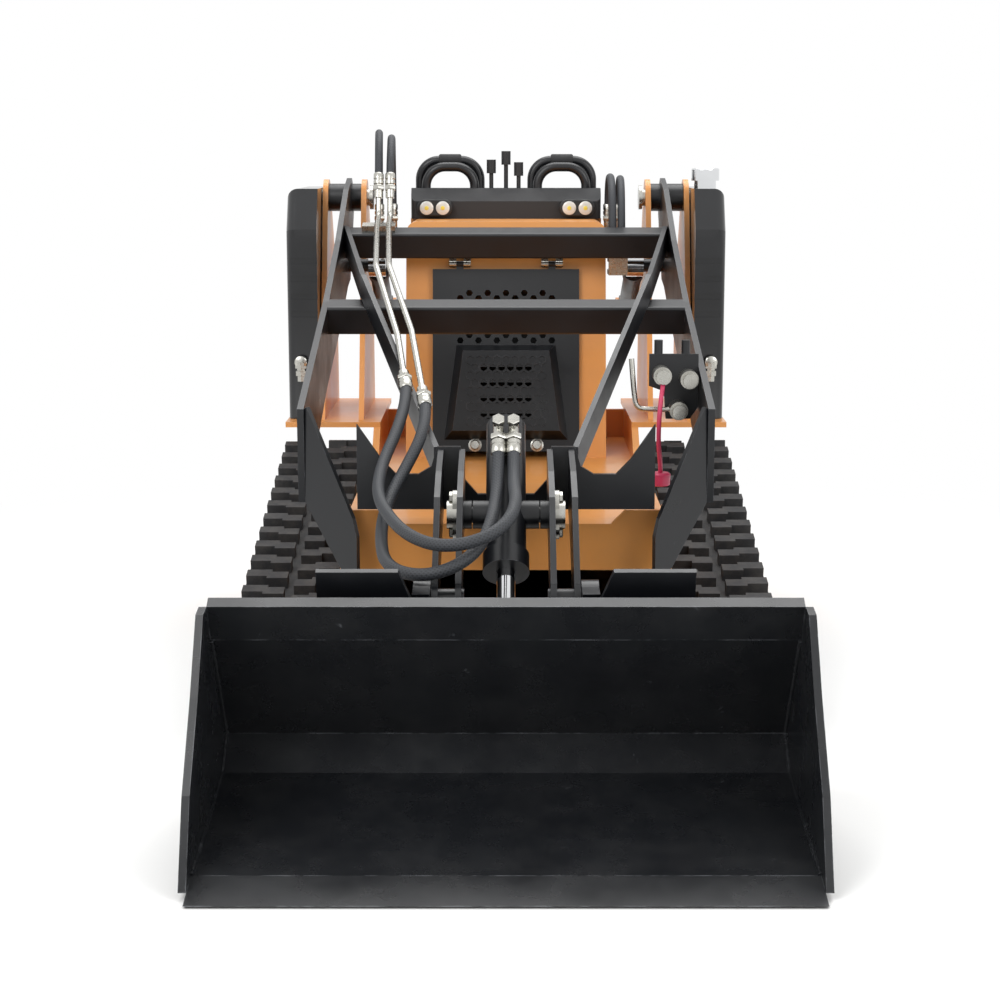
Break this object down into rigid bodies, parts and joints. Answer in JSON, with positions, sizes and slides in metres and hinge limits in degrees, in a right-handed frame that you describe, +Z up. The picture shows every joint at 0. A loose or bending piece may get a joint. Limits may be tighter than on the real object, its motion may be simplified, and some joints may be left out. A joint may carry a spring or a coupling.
{
  "type": "mini loader",
  "caption": "Compact stand-on tracked loader with a hydraulic lift arm, a tilting bucket, a hinged grille door, side tanks, hoses and a rear foot platform.",
  "frame": {"origin": "on the ground below the middle of the machine's bounding box", "axes": "+Z up, -Y to the front (bucket), +X to the right as seen from the front"},
  "size_m": [1, 2.4, 1.1218],
  "materials": {
    "orange_paint": "satin",
    "black_paint": "satin",
    "worn_steel": "satin",
    "chrome": "gloss",
    "tank_plastic": "gloss",
    "control_plastic": "matte",
    "track_rubber": "matte",
    "hose_rubber": "matte",
    "engine_iron": "matte"
  },
  "bodies": {
    "chassis": {"belly_pan": "black_paint", "chassis_sides": "orange_paint", "console": "black_paint", "control_levers": "control_plastic", "deck": "orange_paint", "engine_block": "engine_iron", "filler_cap": "chrome", "front_crossmember": "orange_paint", "fuel_tank": "tank_plastic", "handles": "black_paint", "hood": "orange_paint", "hood_hinges": "worn_steel", "hose_shelves": "black_paint", "hydraulic_tank": "tank_plastic", "pivot_pins": "worn_steel", "rear_panel": "orange_paint", "tower_left": "orange_paint", "tower_right": "orange_paint", "track_frames": "black_paint", "track_left": "track_rubber", "track_right": "track_rubber", "track_wheels_left": "worn_steel", "track_wheels_right": "worn_steel", "work_lights": "control_plastic"},
    "arm": {"arm_plate_left": "black_paint", "arm_plate_right": "black_paint", "cross_tubes": "black_paint", "arm_legs": "black_paint", "cross_plate": "black_paint", "braces": "black_paint", "inner_plates": "black_paint", "tube_clamp": "worn_steel", "steel_tubes": "worn_steel", "hose_bracket": "black_paint", "coupler_bracket": "black_paint", "couplers": "worn_steel", "tilt_hose_a": "hose_rubber", "tilt_hose_b": "hose_rubber", "top_hose_left_a": "hose_rubber", "top_hose_left_b": "hose_rubber", "top_hose_right_a": "hose_rubber", "top_hose_right_b": "hose_rubber"},
    "bucket": {"bucket_shell": "black_paint", "bucket_rail": "black_paint", "cutting_edge": "worn_steel", "bucket_sides": "black_paint", "hitch_plate": "black_paint"},
    "door": {"grille_door": "black_paint", "grille_guard": "black_paint"},
    "platform": {"foot_platform": "black_paint"},
    "lift_barrel_left": {"lift_barrel_left": "black_paint"},
    "lift_barrel_right": {"lift_barrel_right": "black_paint"},
    "lift_rod_left": {"lift_rod_left": "chrome"},
    "lift_rod_right": {"lift_rod_right": "chrome"},
    "tilt_barrel": {"tilt_barrel": "black_paint"},
    "tilt_rod": {"tilt_rod": "chrome"}
  },
  "joints": [
    {"name": "arm_lift", "type": "hinge", "parent": "chassis", "child": "arm", "pos_m": [0, 0.81, 0.965], "axis": [-1, 0, 0], "range_deg": [0, 62], "deforming": ["top_hose_left_a", "top_hose_left_b", "top_hose_right_a", "top_hose_right_b"]},
    {"name": "bucket_tilt", "type": "hinge", "parent": "arm", "child": "bucket", "pos_m": [0, -0.762, 0.359], "axis": [1, 0, 0], "range_deg": [-25, 85]},
    {"name": "door_swing", "type": "hinge", "parent": "chassis", "child": "door", "pos_m": [0, 0.62914, 0.81983], "axis": [-1, 0, 0], "range_deg": [0, 85]},
    {"name": "platform_fold", "type": "hinge", "parent": "chassis", "child": "platform", "pos_m": [0, 0.916, 0.178], "axis": [1, 0, 0], "range_deg": [0, 85]},
    {"name": "lift_barrel_left_turn", "type": "hinge", "parent": "chassis", "child": "lift_barrel_left", "pos_m": [0, 0.94, 0.7], "axis": [-1, 0, 0], "range_deg": [-1, 20]},
    {"name": "lift_rod_left_slide", "type": "slide", "parent": "lift_barrel_left", "child": "lift_rod_left", "axis": [0, -0.9164, 0.4003], "range_m": [-0.002, 0.18]},
    {"name": "lift_barrel_right_turn", "type": "hinge", "parent": "chassis", "child": "lift_barrel_right", "pos_m": [0, 0.94, 0.7], "axis": [-1, 0, 0], "range_deg": [-1, 20]},
    {"name": "lift_rod_right_slide", "type": "slide", "parent": "lift_barrel_right", "child": "lift_rod_right", "axis": [0, -0.9164, 0.4003], "range_m": [-0.002, 0.18]},
    {"name": "tilt_barrel_turn", "type": "hinge", "parent": "arm", "child": "tilt_barrel", "pos_m": [0, -0.6, 0.467], "axis": [1, 0, 0], "range_deg": [-6, 17], "deforming": ["tilt_hose_a", "tilt_hose_b"]},
    {"name": "tilt_rod_slide", "type": "slide", "parent": "tilt_barrel", "child": "tilt_rod", "axis": [0, -0.7184, -0.6957], "range_m": [-0.09, 0.03]}
  ],
  "couplings": [
    {"joint": "lift_barrel_left_turn", "follows": "arm_lift", "ratio": 0.3052},
    {"joint": "lift_rod_left_slide", "follows": "arm_lift", "m_per_rad": 0.16266},
    {"joint": "lift_barrel_right_turn", "follows": "arm_lift", "ratio": 0.3052},
    {"joint": "lift_rod_right_slide", "follows": "arm_lift", "m_per_rad": 0.16266},
    {"joint": "tilt_barrel_turn", "follows": "bucket_tilt", "ratio": 0.183},
    {"joint": "tilt_rod_slide", "follows": "bucket_tilt", "m_per_rad": -0.0565}
  ]
}
